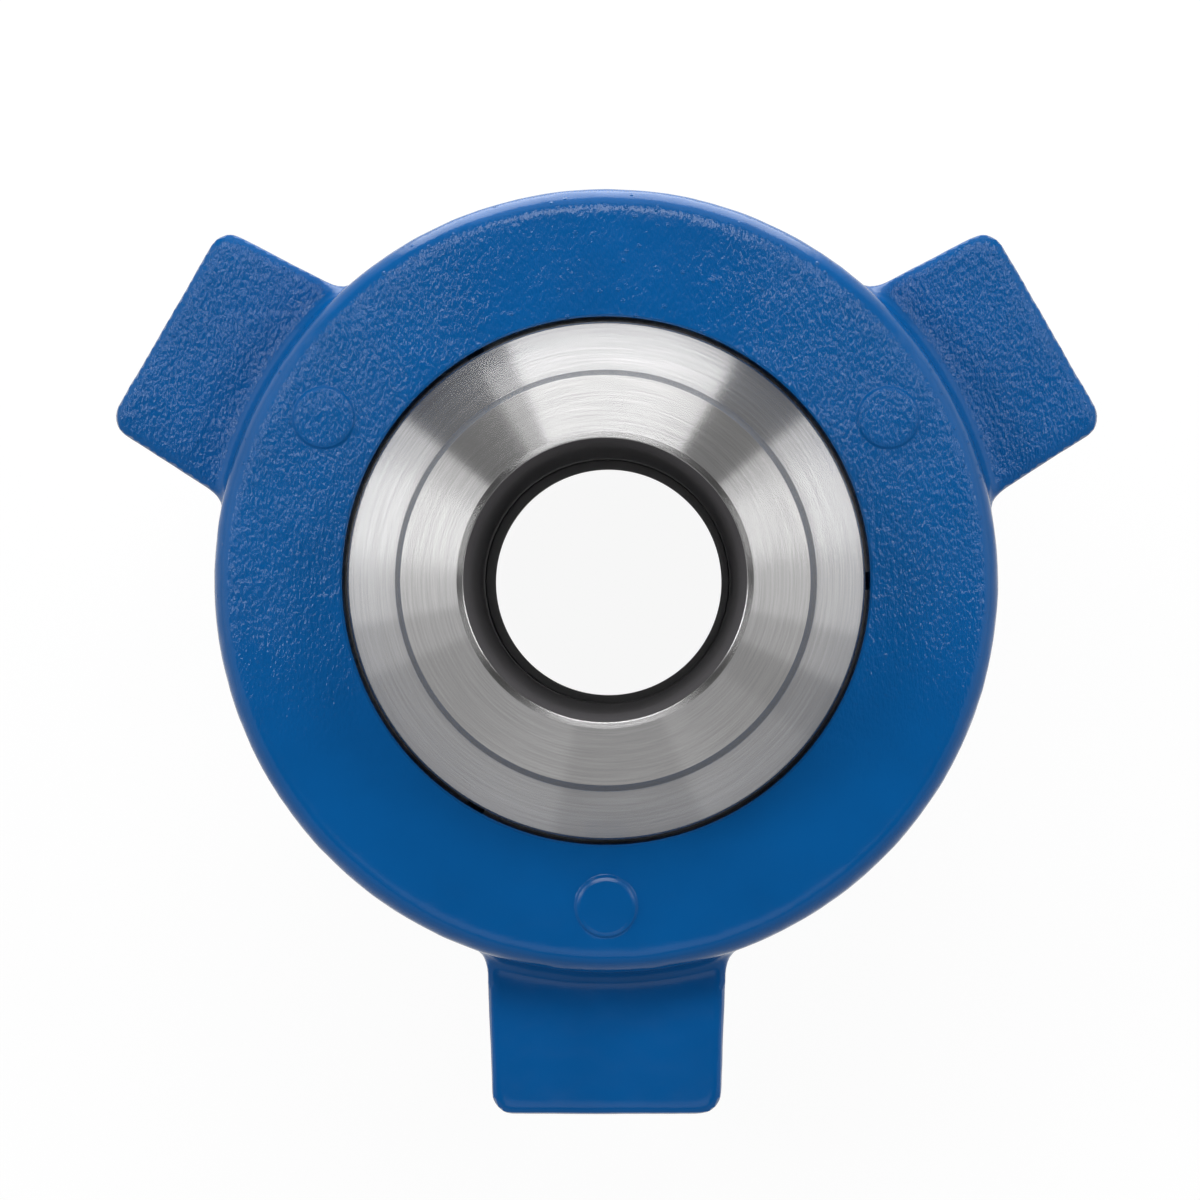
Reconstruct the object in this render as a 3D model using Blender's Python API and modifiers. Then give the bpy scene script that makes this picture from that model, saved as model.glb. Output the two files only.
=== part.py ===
"""Hammer union for butt-welded 3 inch double extra strong pipe, made up hand tight.

The union stands on the weld end of its female sub, with the male sub above it.
Every piece is built round the bore's own Z axis, in metres, and then carried by the
empty union_axis, which puts that axis over the middle of the union's footprint.
"""

from math import asin, atan2, ceil, cos, floor, pi, radians, sin, sqrt, tan

import bmesh
import bpy
from mathutils import Matrix, Vector

# Clearance between pieces that touch on the real union
GAP = 0.0003

# Pipe that both weld ends are made for
PIPE_DIAMETER = 0.0889
BORE_DIAMETER = 0.0584
BORE_EDGE_BREAK = 0.0008
WELD_LAND_WIDTH = 0.0016
WELD_BEVEL_ANGLE = radians(37.5)
NECK_THICKENING = 0.0025
NECK_FLARE_LENGTH = 0.0250

# Male sub, from its nose to its weld end
BALL_RADIUS = 0.0660
NOSE_TIP_WIDTH = 0.0048
FLANGE_THICKNESS = 0.0044
GROOVE_DEPTH = 0.0078
COLLAR_HEIGHT = 0.0120
COLLAR_CONE_ANGLE = radians(37.5)
MALE_NECK_LENGTH = 0.0360
MALE_NECK_FILLET = 0.0010

# Female sub
FEMALE_LENGTH = 0.1180
FEMALE_THREAD_LENGTH = 0.0440
SHOULDER_ANGLE = radians(45.0)
SHOULDER_FILLET = 0.0060
SEAT_ANGLE = radians(47.5)
RIM_WIDTH = 0.0066
RIM_CHAMFER = 0.0012

# Seals in the recess below the seat
SEAL_RECESS_DEPTH = 0.0083
SEAL_HEIGHT = 0.0108
SEAL_ROUNDING = 0.0006
BACKUP_RING_WIDTH = 0.0024
BACKUP_RING_HEIGHT = 0.0025

# Thread: 5 1/2 inch, 3 turns to the inch, right hand, 29 degree flanks
THREAD_DIAMETER = 0.1397
THREAD_PITCH = 0.0254 / 3
THREAD_FLANK_ANGLE = radians(14.5)
THREAD_DEPTH = 0.00445
THREAD_RADIAL_GAP = 0.00035
THREAD_FLANK_GAP = 0.0005
THREAD_ROOT_SINK = 0.0006
FEMALE_THREAD_START = 0.0055
FEMALE_THREAD_END = 0.0035
NUT_THREAD_START = 0.0045
NUT_THREAD_END = 0.0047

# Wing nut
NUT_HEIGHT = 0.0800
NUT_WALL = 0.0205
NUT_LIP_THICKNESS = 0.0127
NUT_REAR_ROUNDING = 0.0050
NUT_REAR_TAPER = 0.0048
NUT_REAR_TAPER_HEIGHT = 0.0320
NUT_FRONT_TAPER = 0.0010
NUT_FRONT_ROUNDING = 0.0020
NUT_HOLE_EDGE_BREAK = 0.0005
NUT_ENTRANCE_CHAMFER = 0.0015
NUT_LAND_THICKNESS = 0.0028
THREAD_END_ROOM = 0.0012

# Lugs that the hammer strikes: the lower one is a little longer than the other two
LOWER_LUG_DIRECTION = radians(270.0)
LUG_SPACING = radians(120.0)
LUG_WIDTH = 0.0552
LUG_TAPER = 0.0012
LUG_HEIGHT = 0.0550
SIDE_LUG_LENGTH = 0.0272
LOWER_LUG_LENGTH = 0.0325
LUG_CORNER_ROUNDING = 0.0050
LUG_EDGE_ROUNDING = 0.0035
LUG_ROOT_FILLET = 0.0070
LUG_ROOT_SINK = 0.0060
LUG_TOP_FILLET = 0.0030
LUG_TOP_FILLET_SINK = 0.0003

# Round pads on the nut's rear face, one in line with each lug
PAD_RADIUS = 0.0066
PAD_HEIGHT = 0.0008
PAD_PITCH_RADIUS = 0.0732
PAD_EDGE_ROUNDING = 0.0004

# Split retainer and its snap ring
RETAINER_HEIGHT = 0.0167
RETAINER_BEARING = 0.0059
RETAINER_EDGE_BREAK = 0.0008
RETAINER_COUNT = 3
RETAINER_SPACE = radians(4.0)
NUT_HOLE_CLEARANCE = 0.0011
RETAINER_CLEARANCE = 0.0006
RING_THICKNESS = 0.0037
RING_WIDTH = 0.0050
RING_SEAT_CLEARANCE = 0.0004
RING_GROOVE_DEPTH = 0.0027
RING_SPLIT = radians(20.0)

# Faceting
ROUND_STEPS = 48
PAD_STEPS = 16
ARC_STEP = radians(30.0)
SHARP_ANGLE = radians(35.0)
LUG_SHARP_ANGLE = radians(60.0)
FULL_TURN = 2 * pi
MERGE_DISTANCE = 0.00001

# Radii, worked out from the thread inwards and outwards
BORE_RADIUS = BORE_DIAMETER / 2
PIPE_RADIUS = PIPE_DIAMETER / 2
LAND_RADIUS = BORE_RADIUS + BORE_EDGE_BREAK + WELD_LAND_WIDTH
NECK_RADIUS = PIPE_RADIUS + NECK_THICKENING
MALE_THREAD_CREST = THREAD_DIAMETER / 2
MALE_THREAD_ROOT = MALE_THREAD_CREST - THREAD_DEPTH
NUT_THREAD_ROOT = MALE_THREAD_CREST + THREAD_RADIAL_GAP
NUT_THREAD_CREST = MALE_THREAD_ROOT + THREAD_RADIAL_GAP
NUT_RADIUS = NUT_THREAD_ROOT + NUT_WALL
RETAINER_RADIUS = NUT_THREAD_CREST - RETAINER_CLEARANCE
NUT_HOLE_RADIUS = RETAINER_RADIUS - RETAINER_BEARING
COLLAR_RADIUS = NUT_HOLE_RADIUS - NUT_HOLE_CLEARANCE
GROOVE_RADIUS = COLLAR_RADIUS - GROOVE_DEPTH
RING_GROOVE_RADIUS = NUT_THREAD_CREST + RING_GROOVE_DEPTH
RING_RADIUS = RING_GROOVE_RADIUS - RING_SEAT_CLEARANCE
SEAL_RECESS_RADIUS = BORE_RADIUS + SEAL_RECESS_DEPTH
NOSE_TIP_RADIUS = BORE_RADIUS + NOSE_TIP_WIDTH
SEAT_MOUTH_RADIUS = MALE_THREAD_ROOT - RIM_WIDTH

# Heights above the female weld end
BEVEL_HEIGHT = (PIPE_RADIUS - LAND_RADIUS) * tan(WELD_BEVEL_ANGLE)
SHOULDER_TOP = FEMALE_LENGTH - FEMALE_THREAD_LENGTH
SHOULDER_BOTTOM = SHOULDER_TOP - (MALE_THREAD_ROOT - NECK_RADIUS) * tan(SHOULDER_ANGLE)
BALL_CENTRE = FEMALE_LENGTH - SEAT_MOUTH_RADIUS * tan(SEAT_ANGLE) + (BALL_RADIUS + GAP) / cos(SEAT_ANGLE)
NOSE_TIP = BALL_CENTRE - sqrt(BALL_RADIUS**2 - NOSE_TIP_RADIUS**2)
NUT_LAND_BOTTOM = FEMALE_LENGTH + THREAD_END_ROOM
RING_GROOVE_BOTTOM = NUT_LAND_BOTTOM + NUT_LAND_THICKNESS
RETAINER_BOTTOM = RING_GROOVE_BOTTOM + RING_THICKNESS + 2 * GAP
RETAINER_TOP = RETAINER_BOTTOM + RETAINER_HEIGHT
FLANGE_TOP = RETAINER_BOTTOM - GAP
FLANGE_BOTTOM = FLANGE_TOP - FLANGE_THICKNESS
GROOVE_TOP = RETAINER_TOP + GAP
COLLAR_TOP = GROOVE_TOP + COLLAR_HEIGHT
COLLAR_CONE_TOP = COLLAR_TOP + (COLLAR_RADIUS - NECK_RADIUS) * tan(COLLAR_CONE_ANGLE)
UNION_LENGTH = COLLAR_CONE_TOP + MALE_NECK_LENGTH
NUT_REAR = GROOVE_TOP + NUT_LIP_THICKNESS
NUT_FRONT = NUT_REAR - NUT_HEIGHT
LUG_TOP = NUT_FRONT + LUG_HEIGHT
SEAL_TOP = NOSE_TIP - GAP
SEAL_BOTTOM = SEAL_TOP - SEAL_HEIGHT
SEAL_RECESS_FLOOR = SEAL_BOTTOM - GAP

# The lower lug reaches further from the axis than the body does on the other side
LOWER_LUG_REACH = NUT_RADIUS + LOWER_LUG_LENGTH
AXIS_OFFSET = (LOWER_LUG_REACH - NUT_RADIUS) / 2

UP = Vector((0.0, 0.0, 1.0))


def clear_scene():
    for old in list(bpy.data.objects):
        bpy.data.objects.remove(old)


def new_collection(name):
    group = bpy.data.collections.new(name)
    bpy.context.scene.collection.children.link(group)
    return group


def add_object(name, mesh, group):
    piece = bpy.data.objects.new(name, mesh)
    group.objects.link(piece)
    return piece


def arc_at(before, corner, after, rounding):
    """Points of the arc that rounds one corner of an outline, no longer than half its sides."""
    into = corner - before
    out_of = after - corner
    turn = atan2(into.x * out_of.y - into.y * out_of.x, into.dot(out_of))
    reach = min(rounding * tan(abs(turn) / 2), 0.49 * into.length, 0.49 * out_of.length)
    radius = reach / tan(abs(turn) / 2)
    first = corner - into.normalized() * reach
    side = 1.0 if turn > 0 else -1.0
    centre = first + Vector((-into.y, into.x)).normalized() * side * radius
    steps = max(1, ceil(abs(turn) / ARC_STEP))
    return [centre + Matrix.Rotation(turn * step / steps, 2) @ (first - centre) for step in range(steps + 1)]


def rounded(corners):
    """Turn (x, y, rounding) corners of a closed outline into points, with an arc at each rounding."""
    points = []
    for index, (x, y, rounding) in enumerate(corners):
        corner = Vector((x, y))
        if rounding == 0.0:
            points.append(corner)
            continue
        before = Vector(corners[index - 1][:2])
        after = Vector(corners[(index + 1) % len(corners)][:2])
        points += arc_at(before, corner, after, rounding)
    return points


def turned(name, corners, group):
    """Turn a closed outline of (radius, height, rounding) corners a full turn about Z."""
    mesh = bpy.data.meshes.new(name)
    form = bmesh.new()
    verts = [form.verts.new((point.x, 0.0, point.y)) for point in rounded(corners)]
    for here, there in zip(verts, verts[1:] + verts[:1]):
        form.edges.new((here, there))
    form.to_mesh(mesh)
    form.free()
    piece = add_object(name, mesh, group)
    screw = piece.modifiers.new("Turn", "SCREW")
    screw.steps = ROUND_STEPS
    screw.render_steps = ROUND_STEPS
    screw.use_merge_vertices = True
    screw.merge_threshold = MERGE_DISTANCE
    return piece


def swept_mesh(name, corners, start_angle, steps, rise=0.0, step_angle=FULL_TURN / ROUND_STEPS):
    """Sweep a closed outline part of the way round Z, with both ends closed."""
    form = bmesh.new()
    verts = [form.verts.new((point.x, 0.0, point.y)) for point in rounded(corners)]
    face = form.faces.new(verts)
    bmesh.ops.rotate(form, verts=verts, cent=(0, 0, 0), matrix=Matrix.Rotation(start_angle, 3, "Z"))
    bmesh.ops.spin(
        form,
        geom=verts + list(face.edges) + [face],
        cent=(0, 0, 0),
        axis=UP,
        dvec=UP * rise,
        angle=step_angle * steps,
        steps=steps,
    )
    bmesh.ops.recalc_face_normals(form, faces=form.faces)
    mesh = bpy.data.meshes.new(name)
    form.to_mesh(mesh)
    form.free()
    return mesh


def join(piece, tool):
    """Unite a hidden tool object with the piece."""
    tool.hide_render = True
    tool.display_type = "WIRE"
    union = piece.modifiers.new("Join " + tool.name, "BOOLEAN")
    union.operation = "UNION"
    union.solver = "EXACT"
    union.object = tool


def merge_slivers(mesh):
    """Merge the points that a union leaves almost on top of each other."""
    form = bmesh.new()
    form.from_mesh(mesh)
    bmesh.ops.remove_doubles(form, verts=form.verts, dist=MERGE_DISTANCE)
    bmesh.ops.dissolve_degenerate(form, edges=form.edges, dist=MERGE_DISTANCE)
    form.to_mesh(mesh)
    form.free()


def finish(piece, material):
    """Give a piece its evaluated mesh, smooth shading with sharp edges, and its material."""
    graph = bpy.context.evaluated_depsgraph_get()
    mesh = bpy.data.meshes.new_from_object(piece.evaluated_get(graph))
    mesh.name = piece.name
    piece.modifiers.clear()
    piece.data = mesh
    merge_slivers(mesh)
    mesh.shade_smooth()
    mesh.set_sharp_from_angle(angle=SHARP_ANGLE)
    mesh.materials.clear()
    mesh.materials.append(material)


def plain_material(name, colour, metallic, roughness):
    material = bpy.data.materials.new(name)
    material.use_nodes = True
    shader = material.node_tree.nodes["Principled BSDF"]
    shader.inputs["Base Color"].default_value = (*colour, 1.0)
    shader.inputs["Metallic"].default_value = metallic
    shader.inputs["Roughness"].default_value = roughness
    return material


def weld_end(height, inward):
    """Outer corners of a bevelled weld end, from its land to its neck."""
    return [
        (LAND_RADIUS, height, 0.0),
        (PIPE_RADIUS, height + inward * BEVEL_HEIGHT, 0.0),
        (NECK_RADIUS, height + inward * (BEVEL_HEIGHT + NECK_FLARE_LENGTH), 0.0),
    ]


def bore_end(height, inward):
    """Inner corners of a weld end: the edge break between its face and the bore."""
    return [
        (BORE_RADIUS + BORE_EDGE_BREAK, height, 0.0),
        (BORE_RADIUS, height + inward * BORE_EDGE_BREAK, 0.0),
    ]


def ball_nose():
    """Points down the ball from the flange to the flat tip of the nose."""
    top = atan2(FLANGE_BOTTOM - BALL_CENTRE, ball_radius_at(FLANGE_BOTTOM))
    bottom = atan2(NOSE_TIP - BALL_CENTRE, NOSE_TIP_RADIUS)
    steps = 6
    angles = [top + (bottom - top) * step / steps for step in range(steps + 1)]
    return [(BALL_RADIUS * cos(angle), BALL_CENTRE + BALL_RADIUS * sin(angle), 0.0) for angle in angles]


def ball_radius_at(height):
    return sqrt(BALL_RADIUS**2 - (height - BALL_CENTRE) ** 2)


def seat_height_at(radius):
    return FEMALE_LENGTH - (SEAT_MOUTH_RADIUS - radius) * tan(SEAT_ANGLE)


def male_sub(group):
    corners = weld_end(UNION_LENGTH, -1)[:2]
    corners.append((NECK_RADIUS, COLLAR_CONE_TOP, MALE_NECK_FILLET))
    corners += [
        (COLLAR_RADIUS, COLLAR_TOP, 0.0),
        (COLLAR_RADIUS, GROOVE_TOP, 0.0),
        (GROOVE_RADIUS, GROOVE_TOP, 0.0),
        (GROOVE_RADIUS, FLANGE_TOP, 0.0),
        (ball_radius_at(FLANGE_BOTTOM), FLANGE_TOP, 0.0),
    ]
    corners += ball_nose()
    corners += bore_end(NOSE_TIP, 1)
    corners += reversed(bore_end(UNION_LENGTH, -1))
    return turned("male_sub", corners, group)


def thread_ridge(name, root, crest, centre, start_angle, steps, group):
    """One thread as a helical ridge with square ends, sunk a little into the wall that carries it."""
    depth = abs(crest - root)
    middle_half = THREAD_PITCH / 4 - THREAD_FLANK_GAP / 2
    slope = tan(THREAD_FLANK_ANGLE)
    crest_half = middle_half - depth / 2 * slope
    base_half = middle_half + (depth / 2 + THREAD_ROOT_SINK) * slope
    base = root + THREAD_ROOT_SINK * (1.0 if root > crest else -1.0)
    corners = [
        (base, centre + base_half, 0.0),
        (crest, centre + crest_half, 0.0),
        (crest, centre - crest_half, 0.0),
        (base, centre - base_half, 0.0),
    ]
    mesh = swept_mesh(name, corners, start_angle, steps, rise=THREAD_PITCH / ROUND_STEPS)
    return add_object(name, mesh, group)


def female_thread(group):
    start = SHOULDER_TOP + FEMALE_THREAD_START
    length = FEMALE_LENGTH - FEMALE_THREAD_END - start
    steps = floor(length / THREAD_PITCH * ROUND_STEPS)
    return thread_ridge("female_thread", MALE_THREAD_ROOT, MALE_THREAD_CREST, start, 0.0, steps, group)


def nut_thread(group):
    """The nut's ridge follows the female one, half a pitch above it."""
    in_step = SHOULDER_TOP + FEMALE_THREAD_START + THREAD_PITCH / 2
    first = ceil((NUT_FRONT + NUT_THREAD_START - in_step) / THREAD_PITCH * ROUND_STEPS)
    start = in_step + first * THREAD_PITCH / ROUND_STEPS
    length = NUT_LAND_BOTTOM - NUT_THREAD_END - start
    steps = floor(length / THREAD_PITCH * ROUND_STEPS)
    angle = first * FULL_TURN / ROUND_STEPS
    return thread_ridge("nut_thread", NUT_THREAD_ROOT, NUT_THREAD_CREST, start, angle, steps, group)


def female_sub(group, tools):
    corners = [
        (MALE_THREAD_ROOT - RIM_CHAMFER, FEMALE_LENGTH, 0.0),
        (MALE_THREAD_ROOT, FEMALE_LENGTH - RIM_CHAMFER, 0.0),
        (MALE_THREAD_ROOT, SHOULDER_TOP, 0.0),
        (NECK_RADIUS, SHOULDER_BOTTOM, SHOULDER_FILLET),
    ]
    corners += reversed(weld_end(0.0, 1))
    corners += bore_end(0.0, 1)
    corners += [
        (BORE_RADIUS, SEAL_RECESS_FLOOR, 0.0),
        (SEAL_RECESS_RADIUS, SEAL_RECESS_FLOOR, 0.0),
        (SEAL_RECESS_RADIUS, seat_height_at(SEAL_RECESS_RADIUS), 0.0),
        (SEAT_MOUTH_RADIUS, FEMALE_LENGTH, 0.0),
    ]
    piece = turned("female_sub", corners, group)
    join(piece, female_thread(tools))
    return piece


def nut_body(group):
    rear_radius = NUT_RADIUS - NUT_REAR_TAPER
    corners = [
        (rear_radius, NUT_REAR, NUT_REAR_ROUNDING),
        (NUT_RADIUS, NUT_REAR - NUT_REAR_TAPER_HEIGHT, 0.0),
        (NUT_RADIUS - NUT_FRONT_TAPER, NUT_FRONT, NUT_FRONT_ROUNDING),
        (NUT_THREAD_ROOT + NUT_ENTRANCE_CHAMFER, NUT_FRONT, 0.0),
        (NUT_THREAD_ROOT, NUT_FRONT + NUT_ENTRANCE_CHAMFER, 0.0),
        (NUT_THREAD_ROOT, NUT_LAND_BOTTOM, 0.0),
        (NUT_THREAD_CREST, NUT_LAND_BOTTOM, 0.0),
        (NUT_THREAD_CREST, RING_GROOVE_BOTTOM, 0.0),
        (RING_GROOVE_RADIUS, RING_GROOVE_BOTTOM, 0.0),
        (RING_GROOVE_RADIUS, RETAINER_BOTTOM, 0.0),
        (NUT_THREAD_CREST, RETAINER_BOTTOM, 0.0),
        (NUT_THREAD_CREST, GROOVE_TOP, 0.0),
        (NUT_HOLE_RADIUS, GROOVE_TOP, 0.0),
        (NUT_HOLE_RADIUS, NUT_REAR - NUT_HOLE_EDGE_BREAK, 0.0),
        (NUT_HOLE_RADIUS + NUT_HOLE_EDGE_BREAK, NUT_REAR, 0.0),
    ]
    return turned("wing_nut", corners, group)


def lug_side(reach):
    """One side of a lug in plan: its end corner, then the fillet that runs out onto the nut's body."""
    shell = NUT_RADIUS - NUT_FRONT_TAPER - GAP
    half = LUG_WIDTH / 2
    centre_y = half + LUG_ROOT_FILLET
    centre_x = sqrt((shell + LUG_ROOT_FILLET) ** 2 - centre_y**2)
    last = atan2(-centre_y, -centre_x)
    first = -pi / 2
    steps = ceil((first - last) / ARC_STEP) + 1
    side = [(reach, half - LUG_TAPER, LUG_CORNER_ROUNDING)]
    for step in range(steps + 1):
        angle = first + (last - first) * step / steps
        x = centre_x + LUG_ROOT_FILLET * cos(angle)
        y = centre_y + LUG_ROOT_FILLET * sin(angle)
        side.append((x, y, 0.0))
    inside = (shell - LUG_ROOT_SINK) / shell
    side.append((side[-1][0] * inside, side[-1][1] * inside, 0.0))
    return side


def lug(name, length, direction, group):
    """A block that stands out from the nut's body, with its end corners and edges rounded."""
    side = lug_side(NUT_RADIUS + length)
    outline = side + [(x, -y, rounding) for x, y, rounding in reversed(side)]
    form = bmesh.new()
    verts = [form.verts.new((point.x, point.y, NUT_FRONT)) for point in rounded(outline)]
    face = form.faces.new(verts)
    lifted = bmesh.ops.extrude_face_region(form, geom=[face])["geom"]
    top = [item for item in lifted if isinstance(item, bmesh.types.BMVert)]
    bmesh.ops.translate(form, verts=top, vec=UP * LUG_HEIGHT)
    bmesh.ops.recalc_face_normals(form, faces=form.faces)
    mesh = bpy.data.meshes.new(name)
    form.to_mesh(mesh)
    form.free()
    piece = add_object(name, mesh, group)
    piece.rotation_euler.z = direction
    edges = piece.modifiers.new("Rounded edges", "BEVEL")
    edges.width = LUG_EDGE_ROUNDING
    edges.segments = 2
    edges.limit_method = "ANGLE"
    edges.angle_limit = LUG_SHARP_ANGLE
    return piece


def nut_radius_at(height):
    """Outer radius of the nut's body, which is widest where its rear taper starts."""
    widest = NUT_REAR - NUT_REAR_TAPER_HEIGHT
    if height > widest:
        return NUT_RADIUS - NUT_REAR_TAPER * (height - widest) / NUT_REAR_TAPER_HEIGHT
    return NUT_RADIUS - NUT_FRONT_TAPER * (widest - height) / (widest - NUT_FRONT)


def lug_top_fillet(name, direction, group):
    """The fillet between a lug's top face and the wall of the body above it, with its ends sunk in both."""
    reach = 2 * LUG_TOP_FILLET
    above = LUG_TOP + reach
    corner = Vector((nut_radius_at(LUG_TOP) - LUG_TOP_FILLET_SINK, LUG_TOP - LUG_TOP_FILLET_SINK))
    up_the_wall = Vector((nut_radius_at(above) - LUG_TOP_FILLET_SINK, above))
    along_the_lug = corner + Vector((reach, 0.0))
    arc = arc_at(up_the_wall, corner, along_the_lug, LUG_TOP_FILLET)
    depth = corner.y - LUG_TOP_FILLET
    inner = arc[0].x - LUG_TOP_FILLET
    corners = [(point.x, point.y, 0.0) for point in arc]
    corners += [(arc[-1].x, depth, 0.0), (inner, depth, 0.0), (inner, arc[0].y, 0.0)]
    half_angle = asin((LUG_WIDTH / 2 - LUG_EDGE_ROUNDING) / corner.x)
    steps = ceil(2 * half_angle / FULL_TURN * ROUND_STEPS)
    mesh = swept_mesh(name, corners, direction - half_angle, steps, step_angle=2 * half_angle / steps)
    return add_object(name, mesh, group)


def pad(name, direction, group):
    """A low round boss on the nut's rear face."""
    sunk = NUT_HOLE_EDGE_BREAK
    bpy.ops.mesh.primitive_cylinder_add(vertices=PAD_STEPS, radius=PAD_RADIUS, depth=PAD_HEIGHT + sunk)
    piece = bpy.context.object
    piece.name = name
    for owner in list(piece.users_collection):
        owner.objects.unlink(piece)
    group.objects.link(piece)
    piece.location = Matrix.Rotation(direction, 3, "Z") @ Vector((PAD_PITCH_RADIUS, 0.0, 0.0))
    piece.location.z = NUT_REAR + (PAD_HEIGHT - sunk) / 2
    edges = piece.modifiers.new("Rounded edge", "BEVEL")
    edges.width = PAD_EDGE_ROUNDING
    edges.segments = 1
    edges.limit_method = "ANGLE"
    return piece


def wing_nut(group, tools):
    piece = nut_body(group)
    join(piece, nut_thread(tools))
    lugs = {"lower": LOWER_LUG_LENGTH, "right": SIDE_LUG_LENGTH, "left": SIDE_LUG_LENGTH}
    for number, (place, length) in enumerate(lugs.items()):
        direction = (LOWER_LUG_DIRECTION + LUG_SPACING * number) % FULL_TURN
        join(piece, lug(place + "_lug", length, direction, tools))
        join(piece, lug_top_fillet(place + "_lug_top_fillet", direction, tools))
        join(piece, pad(place + "_pad", direction, tools))
    return piece


def retainer_segments(group):
    """The split ring that holds the nut on the male sub, lying in the sub's groove."""
    inner = GROOVE_RADIUS + GAP
    corners = [
        (RETAINER_RADIUS, RETAINER_TOP, RETAINER_EDGE_BREAK),
        (RETAINER_RADIUS, RETAINER_BOTTOM, RETAINER_EDGE_BREAK),
        (inner, RETAINER_BOTTOM, 0.0),
        (inner, RETAINER_TOP, 0.0),
    ]
    share = FULL_TURN / RETAINER_COUNT
    steps = round((share - RETAINER_SPACE) / FULL_TURN * ROUND_STEPS)
    step_angle = (share - RETAINER_SPACE) / steps
    mesh = swept_mesh("retainer_segment", corners, RETAINER_SPACE / 2, steps, step_angle=step_angle)
    pieces = []
    for number in range(RETAINER_COUNT):
        piece = add_object(f"retainer_segment_{number + 1}", mesh, group)
        piece.rotation_euler.z = share * number
        pieces.append(piece)
    return pieces


def retainer_ring(group):
    """The split snap ring that stops the segments from dropping out of the nut."""
    corners = [
        (RING_RADIUS, RETAINER_BOTTOM - GAP, 0.0),
        (RING_RADIUS, RING_GROOVE_BOTTOM + GAP, 0.0),
        (RING_RADIUS - RING_WIDTH, RING_GROOVE_BOTTOM + GAP, 0.0),
        (RING_RADIUS - RING_WIDTH, RETAINER_BOTTOM - GAP, 0.0),
    ]
    steps = round((FULL_TURN - RING_SPLIT) / FULL_TURN * ROUND_STEPS)
    step_angle = (FULL_TURN - RING_SPLIT) / steps
    mesh = swept_mesh("retainer_ring", corners, RING_SPLIT / 2, steps, step_angle=step_angle)
    return add_object("retainer_ring", mesh, group)


def seal_ring(group):
    """The rubber lip seal, stepped on its outer side for the ring that backs it up."""
    step = SEAL_RECESS_RADIUS - GAP - BACKUP_RING_WIDTH - GAP
    ledge = SEAL_TOP - BACKUP_RING_HEIGHT - GAP
    inner = BORE_RADIUS + GAP
    corners = [
        (step, SEAL_TOP, 0.0),
        (step, ledge, 0.0),
        (SEAL_RECESS_RADIUS - GAP, ledge, 0.0),
        (SEAL_RECESS_RADIUS - GAP, SEAL_BOTTOM, SEAL_ROUNDING),
        (inner, SEAL_BOTTOM, SEAL_ROUNDING),
        (inner, SEAL_TOP, SEAL_ROUNDING),
    ]
    return turned("seal_ring", corners, group)


def seal_backup_ring(group):
    outer = SEAL_RECESS_RADIUS - GAP
    bottom = SEAL_TOP - BACKUP_RING_HEIGHT
    corners = [
        (outer, SEAL_TOP, 0.0),
        (outer, bottom, 0.0),
        (outer - BACKUP_RING_WIDTH, bottom, 0.0),
        (outer - BACKUP_RING_WIDTH, SEAL_TOP, 0.0),
    ]
    return turned("seal_backup_ring", corners, group)


def carrier(name, group, parent=None):
    """An empty on the union's axis that a moving group hangs from."""
    empty = add_object(name, None, group)
    empty.parent = parent
    return empty


def build():
    clear_scene()
    union = new_collection("hammer_union")
    tools = new_collection("joined_shapes")

    turned_steel = plain_material("turned_steel", (0.56, 0.57, 0.59), 1.0, 0.32)
    enamel = plain_material("blue_enamel", (0.003, 0.095, 0.31), 0.0, 0.28)
    plated_steel = plain_material("plated_steel", (0.42, 0.42, 0.43), 1.0, 0.38)
    spring_steel = plain_material("spring_steel", (0.12, 0.12, 0.13), 1.0, 0.42)
    rubber = plain_material("seal_rubber", (0.018, 0.018, 0.019), 0.0, 0.62)
    brass = plain_material("seal_brass", (0.62, 0.42, 0.13), 1.0, 0.34)

    female = female_sub(union, tools)
    male = male_sub(union)
    nut = wing_nut(union, tools)
    segments = retainer_segments(union)
    ring = retainer_ring(union)
    seal = seal_ring(union)
    backup = seal_backup_ring(union)

    finish(female, turned_steel)
    finish(male, turned_steel)
    finish(nut, enamel)
    finish(ring, spring_steel)
    finish(seal, rubber)
    finish(backup, brass)
    for segment in segments:
        finish(segment, plated_steel)

    axis = carrier("union_axis", union)
    axis.location = (0.0, AXIS_OFFSET, 0.0)
    retainer = carrier("retainer", union, axis)
    for piece in (female, seal, backup):
        piece.parent = axis
    for piece in segments + [nut, male]:
        piece.parent = retainer
    ring.parent = nut


build()
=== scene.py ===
"""Looks of the hammer union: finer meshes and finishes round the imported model, lights and camera."""

from math import atan2, ceil, cos, floor, pi, radians, sin, sqrt, tan

import bmesh
import bpy
from mathutils import Matrix, Vector, noise


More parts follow.
